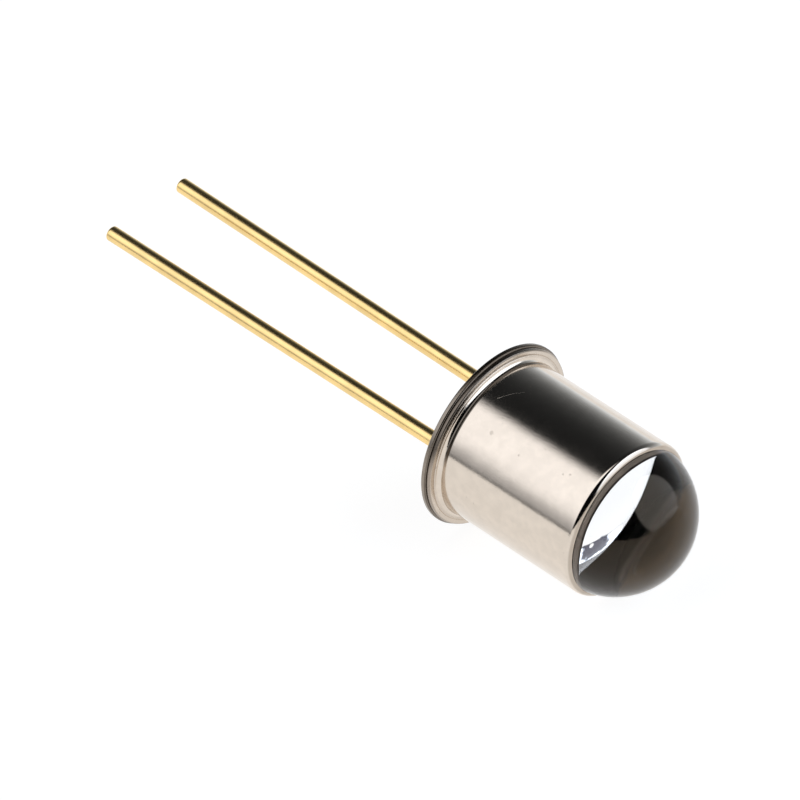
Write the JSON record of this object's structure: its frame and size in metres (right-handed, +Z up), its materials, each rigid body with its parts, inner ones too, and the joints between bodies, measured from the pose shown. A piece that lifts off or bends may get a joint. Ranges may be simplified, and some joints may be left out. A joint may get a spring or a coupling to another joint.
{
  "type": "infrared LED in a two-lead metal can with a glass dome lens",
  "caption": "Infrared emitter in a sealed nickel-plated metal can with a glass dome lens, an index tab and gold-plated wire leads, lying on its flange edge and rim.",
  "frame": {"origin": "on the surface that the LED lies on, under the middle of its length and width", "axes": "+X along the LED's length towards the lens, with the nose lower by 4.8 degrees; +Y to the side the index tab leans to; +Z up"},
  "size_m": [0.0199, 0.0058, 0.0055],
  "materials": {
    "header_metal": "satin nickel plate over a stamped iron alloy",
    "can_metal": "drawn, nickel plated, warm grey semi-gloss with fine handling scratches",
    "lead_gold": "gold plated round wire, semi-gloss",
    "bond_gold": "drawn gold wire, glossy",
    "seal_glass": "dark grey-green sealing glass, smooth",
    "lens_glass": "clear polished glass with a faint cool tint",
    "chip": "polished dark semiconductor",
    "conductive_glue": "matt silver-filled glue"
  },
  "bodies": {
    "root": {"header": "header_metal", "glass_seal": "seal_glass", "cathode_lead": "lead_gold", "anode_lead": "lead_gold", "die_attach": "conductive_glue", "led_chip": "chip", "bond_wire": "bond_gold", "cap": "can_metal", "lens": "lens_glass"}
  },
  "joints": []
}
